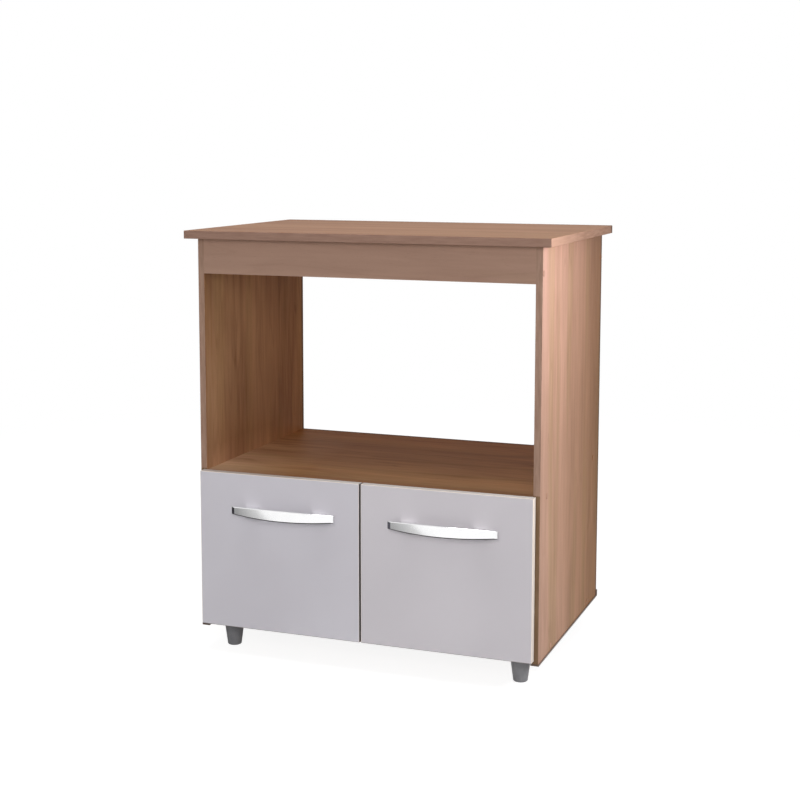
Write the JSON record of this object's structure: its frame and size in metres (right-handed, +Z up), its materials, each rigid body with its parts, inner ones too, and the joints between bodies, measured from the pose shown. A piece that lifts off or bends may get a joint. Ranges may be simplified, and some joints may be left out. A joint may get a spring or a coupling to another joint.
{
  "type": "kitchen storage cabinet",
  "caption": "Kitchen base cabinet with an overhanging top, an open niche for an oven, a cupboard with hinged doors and bow handles, and short tapered feet.",
  "frame": {"origin": "on the floor, under the middle of the whole cabinet's box", "axes": "+X to the cabinet's right as seen from the front, +Y to its back, +Z up"},
  "size_m": [0.7, 0.503, 0.8],
  "materials": {
    "wood_laminate": "satin wood-grain laminate",
    "grey_laminate": "smooth satin grey laminate",
    "pale_edge_band": "satin cream edge band",
    "chrome": "bright chrome plate",
    "brown_plastic": "matt brown plastic",
    "grey_plastic": "fine-grained grey plastic",
    "cap_plastic": "satin wood-coloured plastic",
    "white_plastic": "smooth white plastic",
    "clear_rubber": "soft clear rubber",
    "beech": "bare beech",
    "hardboard": "hardboard with a painted inner face",
    "nickel_steel": "nickel-plated pressed steel",
    "zinc_steel": "zinc-plated steel"
  },
  "bodies": {
    "carcass": {"back_panel": "hardboard", "back_panel_nails": "zinc_steel", "bottom_panel": "wood_laminate", "bracket_screws": "zinc_steel", "carcass_screws": "zinc_steel", "corner_brackets": "white_plastic", "foot_screws": "zinc_steel", "front_apron": "wood_laminate", "front_left_foot": "grey_plastic", "front_right_foot": "grey_plastic", "left_edge_guard": "brown_plastic", "left_hinge_arm_screws": "zinc_steel", "left_hinge_arms": "nickel_steel", "left_hinge_mounting_plates": "nickel_steel", "left_hinge_plate_screws": "zinc_steel", "left_side_panel": "wood_laminate", "niche_shelf": "wood_laminate", "panel_dowels": "beech", "rear_left_foot": "grey_plastic", "rear_rail": "wood_laminate", "rear_right_foot": "grey_plastic", "right_edge_guard": "brown_plastic", "right_hinge_arm_screws": "zinc_steel", "right_hinge_arms": "nickel_steel", "right_hinge_mounting_plates": "nickel_steel", "right_hinge_plate_screws": "zinc_steel", "right_side_panel": "wood_laminate", "screw_caps": "cap_plastic", "top_board": "wood_laminate"},
    "left_door": {"left_door_panel": "grey_laminate", "left_door_edge_band": "pale_edge_band", "left_door_bumpers": "clear_rubber", "left_handle": "chrome", "left_handle_screws": "zinc_steel", "left_hinge_cups": "nickel_steel", "left_hinge_pins": "zinc_steel", "left_hinge_cup_screws": "zinc_steel"},
    "right_door": {"right_door_panel": "grey_laminate", "right_door_edge_band": "pale_edge_band", "right_door_bumpers": "clear_rubber", "right_handle": "chrome", "right_handle_screws": "zinc_steel", "right_hinge_cups": "nickel_steel", "right_hinge_pins": "zinc_steel", "right_hinge_cup_screws": "zinc_steel"}
  },
  "joints": [
    {"name": "left_door_swing", "type": "hinge", "parent": "carcass", "child": "left_door", "pos_m": [-0.31625, -0.21225, 0.2025], "axis": [0, 0, -1], "range_deg": [0, 95]},
    {"name": "right_door_swing", "type": "hinge", "parent": "carcass", "child": "right_door", "pos_m": [0.31625, -0.21225, 0.2025], "axis": [0, 0, 1], "range_deg": [0, 95]}
  ]
}
